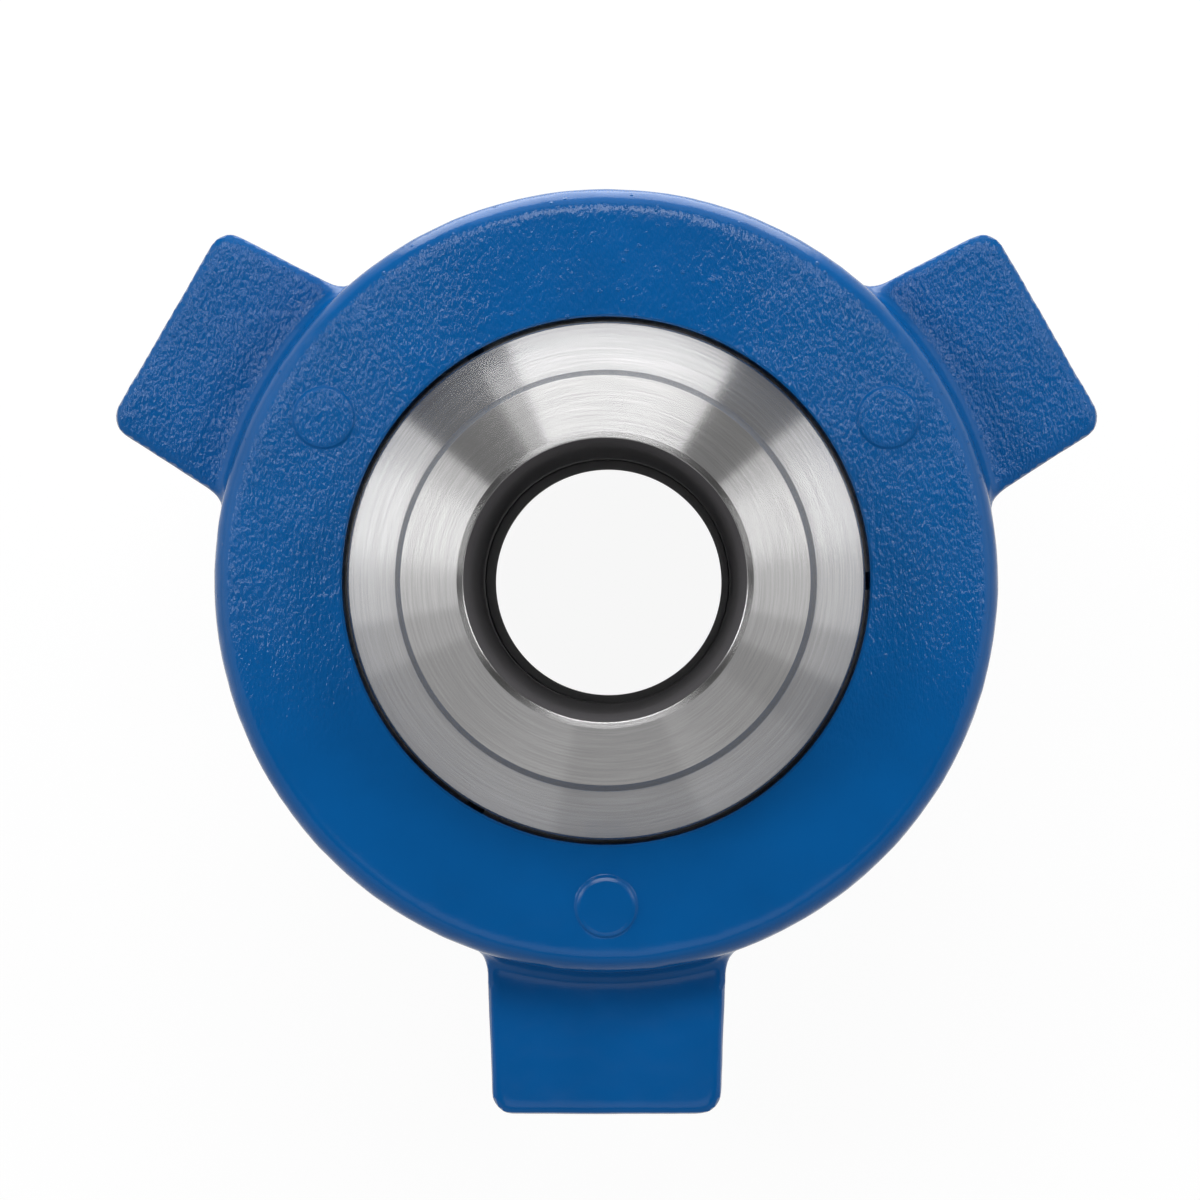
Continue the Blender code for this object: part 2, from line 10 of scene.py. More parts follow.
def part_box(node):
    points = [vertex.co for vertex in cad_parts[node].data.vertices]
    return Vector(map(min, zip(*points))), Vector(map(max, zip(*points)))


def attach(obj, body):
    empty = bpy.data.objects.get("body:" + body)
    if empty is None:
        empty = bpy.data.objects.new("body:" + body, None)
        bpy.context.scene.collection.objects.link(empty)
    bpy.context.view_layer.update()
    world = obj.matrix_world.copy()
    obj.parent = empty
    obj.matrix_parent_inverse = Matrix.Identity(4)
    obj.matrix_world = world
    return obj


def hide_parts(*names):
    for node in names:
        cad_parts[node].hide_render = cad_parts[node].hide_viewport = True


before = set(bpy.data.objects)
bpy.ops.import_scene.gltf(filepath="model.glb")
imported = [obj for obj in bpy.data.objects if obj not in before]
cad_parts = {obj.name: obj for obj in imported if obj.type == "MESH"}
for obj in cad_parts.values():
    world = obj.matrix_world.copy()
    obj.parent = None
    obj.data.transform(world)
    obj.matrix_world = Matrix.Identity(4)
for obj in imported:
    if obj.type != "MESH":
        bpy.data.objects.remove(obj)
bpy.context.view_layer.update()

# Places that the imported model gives
MALE_LOW, MALE_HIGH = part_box("male_sub")
FEMALE_LOW, FEMALE_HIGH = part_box("female_sub")
NUT_LOW, NUT_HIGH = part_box("wing_nut")
SEGMENT_LOW, SEGMENT_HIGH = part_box("retainer_segment_1")
RING_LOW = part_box("retainer_ring")[0]
AXIS = Vector(((MALE_LOW.x + MALE_HIGH.x) / 2, (MALE_LOW.y + MALE_HIGH.y) / 2, 0.0))

# Between pieces that touch on the real union
GAP = 0.0003

# Weld ends
BORE_RADIUS = 0.0292
BORE_MOUTH_WIDTH = 0.0013
BORE_MOUTH_DEPTH = 0.0060
BORE_MOUTH_ROUNDING = 0.0003
BORE_SKIN = 0.0011
LAND_RADIUS = 0.0319
PIPE_RADIUS = 0.04445
NECK_RADIUS = 0.04695
WELD_BEVEL_ANGLE = radians(37.5)
BEVEL_HEIGHT = (PIPE_RADIUS - LAND_RADIUS) * tan(WELD_BEVEL_ANGLE)
BEVEL_EDGE_ROUNDING = 0.0001
MALE_NECK_FILLET = 0.0005
SHOULDER_FILLET = 0.0060
NECK_FLARE_LENGTH = 0.0250

# Male sub, from the top down
WELD_FACE = MALE_HIGH.z
NOSE_TIP = MALE_LOW.z
TURNED_EDGE_ROUNDING = 0.0003
COLLAR_RADIUS = 0.0583
COLLAR_HEIGHT = 0.0120
COLLAR_CONE_ANGLE = radians(37.5)
COLLAR_CHAMFER = 0.0005
GROOVE_RADIUS = 0.0505
GROOVE_TOP = SEGMENT_HIGH.z + GAP
COLLAR_TOP = GROOVE_TOP + COLLAR_HEIGHT
CONE_TOP = COLLAR_TOP + (COLLAR_RADIUS - NECK_RADIUS) * tan(COLLAR_CONE_ANGLE)
FLANGE_TOP = SEGMENT_LOW.z - GAP
FLANGE_THICKNESS = 0.0044
FLANGE_RADIUS = (MALE_HIGH.x - MALE_LOW.x) / 2
BALL_RADIUS = 0.0660
NOSE_TIP_RADIUS = 0.0340
BALL_CENTRE = NOSE_TIP + sqrt(BALL_RADIUS**2 - NOSE_TIP_RADIUS**2)

# Female sub
RIM_TOP = FEMALE_HIGH.z
THREAD_CREST = (FEMALE_HIGH.x - FEMALE_LOW.x) / 2
THREAD_DEPTH = 0.00445
THREAD_ROOT = THREAD_CREST - THREAD_DEPTH
THREAD_PITCH = 0.0254 / 3
THREAD_FLANK_ANGLE = radians(14.5)
THREAD_FLANK_GAP = 0.0005
THREAD_RADIAL_GAP = 0.00035
THREAD_LENGTH = 0.0440
THREAD_EDGE_ROUNDING = 0.0003
THREAD_ROOT_ROUNDING = 0.0004
THREAD_SINK = 0.0006
FEMALE_THREAD_START = 0.0055
FEMALE_THREAD_END = 0.0035
SHOULDER_TOP = RIM_TOP - THREAD_LENGTH
SHOULDER_BOTTOM = SHOULDER_TOP - (THREAD_ROOT - NECK_RADIUS)
RIM_CHAMFER = 0.0012
RIM_EDGE_ROUNDING = 0.0002
RIM_THICKNESS = 0.0066
SEAT_MOUTH_RADIUS = THREAD_ROOT - RIM_THICKNESS
SEAT_ANGLE = radians(47.5)
SEAL_RECESS_RADIUS = 0.0375
SEAL_RECESS_EDGE_BREAK = 0.0008
SEALS_HEIGHT = 0.0108
SEAL_RECESS_FLOOR = NOSE_TIP - SEALS_HEIGHT - 2 * GAP

# Wing nut
PAD_HEIGHT = 0.0008
NUT_FRONT = NUT_LOW.z
NUT_REAR = NUT_HIGH.z - PAD_HEIGHT
NUT_WALL_THICKNESS = 0.0205
NUT_RADIUS = THREAD_CREST + THREAD_RADIAL_GAP + NUT_WALL_THICKNESS
NUT_REAR_SLOPE_WIDTH = 0.0031
NUT_REAR_SLOPE_HEIGHT = 0.0038
NUT_WALL_TAPER = 0.0022
NUT_WALL_TAPER_HEIGHT = 0.0320
NUT_WALL_ROUNDING = 0.0200
NUT_REAR_ROUNDING = 0.0024
NUT_FRONT_TAPER = 0.0010
NUT_FRONT_ROUNDING = 0.0025
NUT_HOLE_PLAY = 0.0011
NUT_HOLE_RADIUS = COLLAR_RADIUS + NUT_HOLE_PLAY
NUT_HOLE_ROUNDING = 0.0006
NUT_THREAD_ROOT = THREAD_CREST + THREAD_RADIAL_GAP
NUT_THREAD_CREST = THREAD_ROOT + THREAD_RADIAL_GAP
NUT_THREAD_START = 0.0045
NUT_THREAD_END = 0.0047
NUT_LAND_CLEARANCE = 0.0012
NUT_LAND_BOTTOM = RIM_TOP + NUT_LAND_CLEARANCE
NUT_ENTRANCE_CHAMFER = 0.0015
RING_GROOVE_DEPTH = 0.0027
RING_GROOVE_RADIUS = NUT_THREAD_CREST + RING_GROOVE_DEPTH
RING_GROOVE_BOTTOM = RING_LOW.z - GAP

# Forging before it is bored, and the tool that bores it
FORGING_STOCK = 0.008
BORE_TOOL_WALL = 0.012
BORE_TOOL_OVERRUN = 0.004

# Forged skin, pushed in and out by two sizes of noise
SKIN_SMOOTHING = 0.5
SKIN_SMOOTHING_PASSES = 5
SKIN_COARSE_SIZE = 0.009
SKIN_COARSE_DEPTH = 0.00010
SKIN_FINE_SIZE = 0.0032
SKIN_FINE_DEPTH = 0.00006
SKIN_INSET = 0.00012

# Lugs: the lower one is longer than the other two
LUG_WIDTH = 0.0552
LUG_TAPER = 0.0012
LUG_HEIGHT = 0.0550
LUG_TOP = NUT_FRONT + LUG_HEIGHT
LUG_CORNER_ROUNDING = 0.0050
LUG_EDGE_ROUNDING = 0.0035
LUG_EDGE_ANGLE = radians(60.0)
LUG_EDGE_SEGMENTS = 4
LUG_ROOT_FILLET = 0.0075
LUG_ROOT_STEPS = 8
LUG_ROOT_INSIDE = 0.9
LUGS = {270.0: 0.0325, 30.0: 0.0272, 150.0: 0.0272}

# Fillet over each lug
LUG_SHELF_FILLET = 0.0030
SHELF_DEPTH = 0.0040
SHELF_WALL_LAP = 0.0004
SHELF_SINK = 0.0020
SHELF_HALF_ANGLE = radians(17.0)
SHELF_STEPS = 24
SHELF_ARC_DEGREES = 15.0
SHELF_ARC_STEPS = 6

# Pads on the nut's rear face
PAD_RADIUS = 0.0071
PAD_SHOULDER_RADIUS = 0.0066
PAD_TOP_RADIUS = 0.0058
PAD_SHOULDER_DROP = 0.00022
PAD_PITCH_RADIUS = 0.0732
PAD_ROUNDING = 0.0002
PAD_FOOT_DROP = PAD_ROUNDING / 4
PAD_SINK = 0.0006
PAD_CENTRE_HOLE = 0.00005

# Mesh fineness
FINE_STEPS = 192
ARC_STEP = radians(10.0)
ARC_SHARE_OF_SIDE = 0.49
WHOLE_TURN_TOLERANCE = 1e-9
THREAD_STEPS = 96
BALL_STEPS = 20
PAD_STEPS = 96
VOXEL = 0.00125
SHARP_ANGLE = radians(30.0)
FULL_TURN = 2 * pi
UP = Vector((0.0, 0.0, 1.0))

# Enamel; here and below, a ramp is (from, to) or (from, to, value before, value after)
ENAMEL_TONES = ((0.3, (0.0004, 0.092, 0.313, 1.0)), (0.7, (0.0006, 0.104, 0.351, 1.0)))
ENAMEL_TONE_SCALE = 45.0
ENAMEL_TONE_DETAIL = 4.0
ENAMEL_ROUGHNESS = 0.20
ENAMEL_GLOSS = 0.3
COARSE_ALONG_Y = (-0.065, 0.012)
COARSE_ASIDE = (0.010, 0.065, 0.40, 1.0)
COARSE_PATCHES = (0.35, 0.62, 0.75, 1.0)
COARSE_PATCH_SCALE = 38.0
COARSE_FACES = (0.86, 0.97)
COARSE_WALLS = (0.15, 0.45, 0.7, 0.0)
GRAIN_STRETCH = (1.0, 0.5, 1.0)
GRAIN_DETAIL = 2.0
SWELL_SCALE = 600.0
SWELL_HEIGHT = 0.0005
SWELL_STRENGTH = (0.0, 1.0, 0.03, 0.60)
GRAIN_SCALE = 1200.0
GRAIN_ROUGHNESS = 0.6
GRAIN_HEIGHT = 0.0004
GRAIN_STRENGTH = (0.0, 1.0, 0.03, 0.95)
SPECK_SCALE = 300.0
SPECK_HEIGHT = 0.00016
SPECK_EDGE = (0.04, 0.18, 1.0, 0.0)
SPECK_ALONG_Y = (-0.05, 0.03)

# Turned steel
STEEL_COLOUR = (0.60, 0.595, 0.595)
STEEL_ROUGHNESS = 0.26
STEEL_ANISOTROPY = 1.0
ACROSS_THE_RINGS = 0.25
RING_SCALE = 2400.0
RING_DETAIL = 3.0
RING_STREAK = 0.0012
RING_HEIGHT = 0.00004
RING_STRENGTH = 0.28
RING_TONE = (0.25, 0.75, 0.90, 1.07)
CONE_TONE_WIDTH = 0.002
CONE_TONE = (NECK_RADIUS, NECK_RADIUS + CONE_TONE_WIDTH, 0.95, 1.06)
# Painted shade on the steep neck wall between weld bevel and shoulder: darker and almost non-metallic there
PAINTED_NECK_SHADE_EDGE = 0.0001
PAINTED_NECK_SHADE_STEEPNESS = (0.35, 0.6, 1.0, 0.0)
PAINTED_NECK_SHADE_TONE = (0.0, 1.0, 1.0, 0.45)
PAINTED_NECK_SHADE_METALLIC = (0.0, 1.0, 1.0, 0.15)

# Plain finishes
FINISH_DETAIL = 3.0
FINISH_ROUGHNESS_SPREAD = 0.08
FINISH_HEIGHT = 0.0001
FINISH_STRENGTH = 0.2

# Studio: panels are (low azimuth, high azimuth, brightness)
PANEL_DISTANCE = 1.5
PANEL_HEIGHT = 1.4
PANEL_FOOT = 0.05
RING_PANELS = [
    (-24, -12, 0.62),
    (-12, 40, 0.93),
    (40, 60, 0.18),
    (60, 113, 1.05),
    (113, 141, 0.12),
    (141, 190, 0.99),
    (190, 202, 0.66),
    (202, 258, 0.48),
    (258, 292, 0.34),
    (292, 322, 0.46),
    (322, 336, 0.37),
]
EDGE_PANEL = (59, 121, 4.0)
EDGE_PANEL_DISTANCE = 0.25
EDGE_PANEL_HEIGHT = 0.15

# Soft boxes are azimuth, elevation, distance, width, height and brightness
SOFT_BOXES = {
    "key_back": (95, 62, 1.2, 0.60, 0.36, 7.0),
    "key_left": (163, 52, 1.2, 0.32, 0.26, 10.0),
    "key_right": (20, 52, 1.2, 0.32, 0.26, 8.4),
    "fill_front": (270, 62, 1.5, 1.0, 0.6, 0.9),
}
WORLD_GREY = (0.05, 0.05, 0.05, 1.0)
FLOOR_RADIUS = 9.0
FLOOR_STEPS = 96
FLOOR_GAP = 0.0005
FLOOR_GREY = (0.08, 0.08, 0.08, 1.0)
FLOOR_GLOW = (0.30, 0.90, 0.93, 0.50)

# Camera, from the photograph's 1200 pixel frame
PHOTO_SIZE = 1200.0
LENS_PIXEL = (625.7, 594.0)
LENS_OFFSET = Vector((0.0044, -0.0030, 0.0))
CAMERA_DISTANCE = 0.926
FOCAL_PIXELS = 4319.0
SENSOR_WIDTH = 36.0


def arc_at(before, corner, after, rounding):
    """Points of the arc that rounds one corner of an outline."""
    into = corner - before
    out_of = after - corner
    turn = atan2(into.x * out_of.y - into.y * out_of.x, into.dot(out_of))
    room = ARC_SHARE_OF_SIDE
    reach = min(rounding * tan(abs(turn) / 2), room * into.length, room * out_of.length)
    radius = reach / tan(abs(turn) / 2)
    first = corner - into.normalized() * reach
    side = 1.0 if turn > 0 else -1.0
    centre = first + Vector((-into.y, into.x)).normalized() * side * radius
    steps = max(2, ceil(abs(turn) / ARC_STEP))
    return [centre + Matrix.Rotation(turn * step / steps, 2) @ (first - centre) for step in range(steps + 1)]


def rounded(corners):
    """Turn (x, y, rounding) corners of a closed outline into points, with an arc at each rounding."""
    points = []
    for index, (x, y, rounding) in enumerate(corners):
        corner = Vector((x, y))
        if rounding == 0.0:
            points.append(corner)
            continue
        before = Vector(corners[index - 1][:2])
        after = Vector(corners[(index + 1) % len(corners)][:2])
        points += arc_at(before, corner, after, rounding)
    return points


def new_object(name, mesh):
    piece = bpy.data.objects.new(name, mesh)
    bpy.context.scene.collection.objects.link(piece)
    return piece


def swept(name, corners, start_angle=0.0, steps=FINE_STEPS, rise=0.0, step_angle=None):
    """Sweep a closed (radius, height, rounding) outline round Z, with its ends closed if it stops short."""
    step_angle = step_angle or FULL_TURN / steps
    whole = abs(step_angle * steps - FULL_TURN) < WHOLE_TURN_TOLERANCE and rise == 0.0
    form = bmesh.new()
    verts = [form.verts.new((point.x, 0.0, point.y)) for point in rounded(corners)]
    outline = [form.edges.new(pair) for pair in zip(verts, verts[1:] + verts[:1])]
    geometry = verts + outline
    if not whole:
        geometry.append(form.faces.new(verts))
    bmesh.ops.rotate(form, verts=verts, cent=(0, 0, 0), matrix=Matrix.Rotation(start_angle, 3, "Z"))
    bmesh.ops.spin(
        form,
        geom=geometry,
        cent=(0, 0, 0),
        axis=UP,
        dvec=UP * rise,
        angle=step_angle * steps,
        steps=steps,
        use_merge=whole,
    )
    bmesh.ops.recalc_face_normals(form, faces=form.faces)
    mesh = bpy.data.meshes.new(name)
    form.to_mesh(mesh)
    form.free()
    return new_object(name, mesh)


def combine(piece, tool, operation):
    """Cut or join a tool object, and drop the tool."""
    modifier = piece.modifiers.new(operation.title(), "BOOLEAN")
    modifier.operation = operation
    modifier.solver = "EXACT"
    modifier.object = tool
    bake(piece)
    bpy.data.objects.remove(tool)


def bake(piece):
    """Give a piece the mesh that its modifiers make."""
    graph = bpy.context.evaluated_depsgraph_get()
    mesh = bpy.data.meshes.new_from_object(piece.evaluated_get(graph))
    piece.modifiers.clear()
    old = piece.data
    piece.data = mesh
    bpy.data.meshes.remove(old)


def even_shading(piece):
    """Let wide faces keep their own direction beside the narrow ones of a rounded edge."""
    piece.data.shade_smooth()
    piece.data.set_sharp_from_angle(angle=SHARP_ANGLE)
    weighted = piece.modifiers.new("Even shading", "WEIGHTED_NORMAL")
    weighted.keep_sharp = True
    bake(piece)


def dress(piece, material, body, *nodes, material_slot, bore_shade_material=None):
    """Give a finished piece its materials, put it on the union's axis, hang it under its body's empty and
    hide the CAD nodes that it stands for.
    """
    mesh = piece.data
    mesh.materials.clear()
    mesh.materials.append(material)
    if bore_shade_material:
        mesh.materials.append(bore_shade_material)
    # Faces in the bore take the dark matte material that paints the shade inside the bore
    for face in mesh.polygons:
        in_bore = bore_shade_material and face.center.xy.length < BORE_RADIUS + BORE_SKIN
        face.material_index = 1 if in_bore else 0
    piece.location = AXIS
    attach(piece, body)
    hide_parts(*nodes)


def weld_end(height, inward, neck_height, fillet):
    """Outer corners of a bevelled weld end, from its land to its neck."""
    return [
        (LAND_RADIUS, height, 0.0),
        (PIPE_RADIUS, height + inward * BEVEL_HEIGHT, BEVEL_EDGE_ROUNDING),
        (NECK_RADIUS, neck_height, fillet),
    ]


def bore_end(height, inward):
    """Corners of the tapered mouth at one end of a bore."""
    return [
        (BORE_RADIUS + BORE_MOUTH_WIDTH, height, BORE_MOUTH_ROUNDING),
        (BORE_RADIUS, height + inward * BORE_MOUTH_DEPTH, 0.0),
    ]


def ball_nose():
    """Points down the ball, from the flange to the flat tip."""
    top = atan2(FLANGE_TOP - FLANGE_THICKNESS - BALL_CENTRE, FLANGE_RADIUS)
    bottom = atan2(NOSE_TIP - BALL_CENTRE, NOSE_TIP_RADIUS)
    angles = [top + (bottom - top) * step / BALL_STEPS for step in range(BALL_STEPS + 1)]
    return [(BALL_RADIUS * cos(angle), BALL_CENTRE + BALL_RADIUS * sin(angle), 0.0) for angle in angles]


def male_sub():
    """The male sub's whole section, from its weld face down the outside and back up the bore."""
    edge = TURNED_EDGE_ROUNDING
    chamfer_top = COLLAR_TOP + COLLAR_CHAMFER * tan(COLLAR_CONE_ANGLE)
    corners = weld_end(WELD_FACE, -1, CONE_TOP, MALE_NECK_FILLET)
    corners += [
        (COLLAR_RADIUS - COLLAR_CHAMFER, chamfer_top, BEVEL_EDGE_ROUNDING),
        (COLLAR_RADIUS, COLLAR_TOP - COLLAR_CHAMFER, edge / 2),
        (COLLAR_RADIUS, GROOVE_TOP, edge),
        (GROOVE_RADIUS, GROOVE_TOP, 2 * edge),
        (GROOVE_RADIUS, FLANGE_TOP, 2 * edge),
        (FLANGE_RADIUS, FLANGE_TOP, edge),
    ]
    corners += ball_nose()
    corners += bore_end(NOSE_TIP, 1)
    corners += reversed(bore_end(WELD_FACE, -1))
    piece = swept("male_sub_fine", corners)
    even_shading(piece)
    return piece


def seat_height_at(radius):
    return RIM_TOP - (SEAT_MOUTH_RADIUS - radius) * tan(SEAT_ANGLE)


def thread_ridge(name, root, crest, centre, start_angle, steps):
    """One thread as a helical ridge, sunk a little into the wall that carries it."""
    depth = abs(crest - root)
    slope = tan(THREAD_FLANK_ANGLE)
    middle_half = THREAD_PITCH / 4 - THREAD_FLANK_GAP / 2
    crest_half = middle_half - depth / 2 * slope
    base_half = middle_half + (depth / 2 + THREAD_SINK) * slope
    base = root + THREAD_SINK * (1.0 if root > crest else -1.0)
    corners = [
        (base, centre + base_half, 0.0),
        (crest, centre + crest_half, THREAD_EDGE_ROUNDING),
        (crest, centre - crest_half, THREAD_EDGE_ROUNDING),
        (base, centre - base_half, 0.0),
    ]
    turn = FULL_TURN / THREAD_STEPS
    return swept(name, corners, start_angle, steps, THREAD_PITCH / THREAD_STEPS, turn)


def female_sub():
    """The female sub's section, swept round, with its thread joined on."""
    corners = [
        (THREAD_ROOT - RIM_CHAMFER, RIM_TOP, RIM_EDGE_ROUNDING),
        (THREAD_ROOT, RIM_TOP - RIM_CHAMFER, RIM_EDGE_ROUNDING),
        (THREAD_ROOT, SHOULDER_TOP, THREAD_ROOT_ROUNDING),
        (NECK_RADIUS, SHOULDER_BOTTOM, SHOULDER_FILLET),
    ]
    corners += reversed(weld_end(0.0, 1, BEVEL_HEIGHT + NECK_FLARE_LENGTH, SHOULDER_FILLET))
    corners += bore_end(0.0, 1)
    corners += [
        (BORE_RADIUS, SEAL_RECESS_FLOOR - SEAL_RECESS_EDGE_BREAK, 0.0),
        (BORE_RADIUS + SEAL_RECESS_EDGE_BREAK, SEAL_RECESS_FLOOR, 0.0),
        (SEAL_RECESS_RADIUS, SEAL_RECESS_FLOOR, 0.0),
        (SEAL_RECESS_RADIUS, seat_height_at(SEAL_RECESS_RADIUS), RIM_EDGE_ROUNDING),
        (SEAT_MOUTH_RADIUS, RIM_TOP, RIM_EDGE_ROUNDING),
    ]
    piece = swept("female_sub_fine", corners)
    start = SHOULDER_TOP + FEMALE_THREAD_START
    steps = floor((RIM_TOP - FEMALE_THREAD_END - start) / THREAD_PITCH * THREAD_STEPS)
    ridge = thread_ridge("female_thread", THREAD_ROOT, THREAD_CREST, start, 0.0, steps)
    combine(piece, ridge, "UNION")
    even_shading(piece)
    return piece


def lug_side(reach):
    """One side of a lug in plan: its end corner, then the fillet that runs out onto the nut's body."""
    shell = NUT_RADIUS - NUT_FRONT_TAPER - GAP
    half = LUG_WIDTH / 2
    centre_y = half + LUG_ROOT_FILLET
    centre_x = sqrt((shell + LUG_ROOT_FILLET) ** 2 - centre_y**2)
    first = -pi / 2
    last = atan2(-centre_y, -centre_x)
    side = [(reach, half - LUG_TAPER, LUG_CORNER_ROUNDING)]
    for step in range(LUG_ROOT_STEPS + 1):
        angle = first + (last - first) * step / LUG_ROOT_STEPS
        x = centre_x + LUG_ROOT_FILLET * cos(angle)
        y = centre_y + LUG_ROOT_FILLET * sin(angle)
        side.append((x, y, 0.0))
    side.append((side[-1][0] * LUG_ROOT_INSIDE, side[-1][1] * LUG_ROOT_INSIDE, 0.0))
    return side


def lug(length, direction):
    """One lug with rounded edges, pointing in a direction from the axis."""
    side = lug_side(NUT_RADIUS + length)
    outline = side + [(x, -y, rounding) for x, y, rounding in reversed(side)]
    form = bmesh.new()
    verts = [form.verts.new((point.x, point.y, NUT_FRONT)) for point in rounded(outline)]
    face = form.faces.new(verts)
    lifted = bmesh.ops.extrude_face_region(form, geom=[face])["geom"]
    top = [item for item in lifted if isinstance(item, bmesh.types.BMVert)]
    bmesh.ops.translate(form, verts=top, vec=UP * (LUG_TOP - NUT_FRONT))
    bmesh.ops.recalc_face_normals(form, faces=form.faces)
    mesh = bpy.data.meshes.new("lug")
    form.to_mesh(mesh)
    form.free()
    piece = new_object("lug", mesh)
    piece.rotation_euler.z = direction
    edges = piece.modifiers.new("Rounded edges", "BEVEL")
    edges.width = LUG_EDGE_ROUNDING
    edges.segments = LUG_EDGE_SEGMENTS
    edges.limit_method = "ANGLE"
    edges.angle_limit = LUG_EDGE_ANGLE
    bake(piece)
    return piece


def shelf_fillet(direction):
    """The fillet between a lug's top face and the wall of the nut's body."""
    inner = NUT_RADIUS - SHELF_DEPTH
    wall = NUT_RADIUS - SHELF_WALL_LAP
    angles = [radians(SHELF_ARC_DEGREES * step) for step in range(SHELF_ARC_STEPS + 1)]
    arc = [
        (wall + LUG_SHELF_FILLET * (1 - sin(angle)), LUG_TOP + LUG_SHELF_FILLET * (1 - cos(angle)), 0.0)
        for angle in angles
    ]
    corners = [(inner, LUG_TOP + LUG_SHELF_FILLET, 0.0)]
    corners += reversed(arc)
    corners += [
        (wall + LUG_SHELF_FILLET, LUG_TOP - SHELF_SINK, 0.0),
        (inner, LUG_TOP - SHELF_SINK, 0.0),
    ]
    first = direction - SHELF_HALF_ANGLE
    return swept("shelf_fillet", corners, first, SHELF_STEPS, 0.0, 2 * SHELF_HALF_ANGLE / SHELF_STEPS)


def forging():
    """The nut as it leaves the die: body and lugs in one skin, with the rough face of a forging."""
    hollow = NUT_HOLE_RADIUS - FORGING_STOCK
    corners = [
        (NUT_RADIUS - NUT_WALL_TAPER - NUT_REAR_SLOPE_WIDTH, NUT_REAR, NUT_REAR_ROUNDING),
        (NUT_RADIUS - NUT_WALL_TAPER, NUT_REAR - NUT_REAR_SLOPE_HEIGHT, NUT_REAR_ROUNDING),
        (NUT_RADIUS, NUT_REAR - NUT_WALL_TAPER_HEIGHT, NUT_WALL_ROUNDING),
        (NUT_RADIUS - NUT_FRONT_TAPER, NUT_FRONT, NUT_FRONT_ROUNDING),
        (hollow, NUT_FRONT, 0.0),
        (hollow, NUT_REAR, 0.0),
    ]
    piece = swept("wing_nut_fine", corners)
    for degrees, length in LUGS.items():
        combine(piece, lug(length, radians(degrees)), "UNION")
        combine(piece, shelf_fillet(radians(degrees)), "UNION")
    skin = piece.modifiers.new("Skin", "REMESH")
    skin.mode = "VOXEL"
    skin.voxel_size = VOXEL
    soft = piece.modifiers.new("Soft", "SMOOTH")
    soft.factor = SKIN_SMOOTHING
    soft.iterations = SKIN_SMOOTHING_PASSES
    bake(piece)
    roughen(piece.data)
    return piece


def roughen(mesh):
    """Push the forged skin in and out a little, as scale and die wear leave it."""
    outward = [vertex.normal.copy() for vertex in mesh.vertices]
    for vertex, normal in zip(mesh.vertices, outward):
        coarse = noise.noise(vertex.co / SKIN_COARSE_SIZE)
        fine = noise.noise(vertex.co / SKIN_FINE_SIZE)
        vertex.co += normal * (SKIN_COARSE_DEPTH * coarse + SKIN_FINE_DEPTH * fine - SKIN_INSET)


def machined_bore():
    """Everything that is bored out of the forging, as one solid."""
    inner = NUT_HOLE_RADIUS - BORE_TOOL_WALL
    beyond = BORE_TOOL_OVERRUN
    corners = [
        (NUT_HOLE_RADIUS + NUT_HOLE_ROUNDING + beyond, NUT_REAR + beyond, 0.0),
        (NUT_HOLE_RADIUS, NUT_REAR - NUT_HOLE_ROUNDING, 0.0),
        (NUT_HOLE_RADIUS, GROOVE_TOP, 0.0),
        (NUT_THREAD_CREST, GROOVE_TOP, 0.0),
        (NUT_THREAD_CREST, SEGMENT_LOW.z, 0.0),
        (RING_GROOVE_RADIUS, SEGMENT_LOW.z, 0.0),
        (RING_GROOVE_RADIUS, RING_GROOVE_BOTTOM, 0.0),
        (NUT_THREAD_CREST, RING_GROOVE_BOTTOM, 0.0),
        (NUT_THREAD_CREST, NUT_LAND_BOTTOM, 0.0),
        (NUT_THREAD_ROOT, NUT_LAND_BOTTOM, 0.0),
        (NUT_THREAD_ROOT, NUT_FRONT + NUT_ENTRANCE_CHAMFER, 0.0),
        (NUT_THREAD_ROOT + NUT_ENTRANCE_CHAMFER + beyond, NUT_FRONT - beyond, 0.0),
        (inner, NUT_FRONT - beyond, 0.0),
        (inner, NUT_REAR + beyond, 0.0),
    ]
    piece = swept("machined_bore", corners)
    in_step = SHOULDER_TOP + FEMALE_THREAD_START + THREAD_PITCH / 2
    first = ceil((NUT_FRONT + NUT_THREAD_START - in_step) / THREAD_PITCH * THREAD_STEPS)
    start = in_step + first * THREAD_PITCH / THREAD_STEPS
    steps = floor((NUT_LAND_BOTTOM - NUT_THREAD_END - start) / THREAD_PITCH * THREAD_STEPS)
    angle = first * FULL_TURN / THREAD_STEPS
    ridge = thread_ridge("nut_thread", NUT_THREAD_ROOT, NUT_THREAD_CREST, start, angle, steps)
    combine(piece, ridge, "DIFFERENCE")
    return piece


def pad(direction):
    """A low round boss with sloping sides on the nut's rear face."""
    top = NUT_REAR + PAD_HEIGHT
    foot = NUT_REAR - PAD_FOOT_DROP
    flange = PAD_RADIUS + PAD_ROUNDING
    corners = [
        (PAD_CENTRE_HOLE, top, 0.0),
        (PAD_TOP_RADIUS, top, PAD_ROUNDING),
        (PAD_SHOULDER_RADIUS, top - PAD_SHOULDER_DROP, PAD_ROUNDING),
        (PAD_RADIUS, foot, PAD_ROUNDING),
        (flange, foot - PAD_FOOT_DROP, 0.0),
        (flange, NUT_REAR - PAD_SINK, 0.0),
        (PAD_CENTRE_HOLE, NUT_REAR - PAD_SINK, 0.0),
    ]
    piece = swept("pad", corners, steps=PAD_STEPS)
    fill_centre(piece.data)
    piece.location = Matrix.Rotation(direction, 3, "Z") @ Vector((PAD_PITCH_RADIUS, 0.0, 0.0))
    return piece


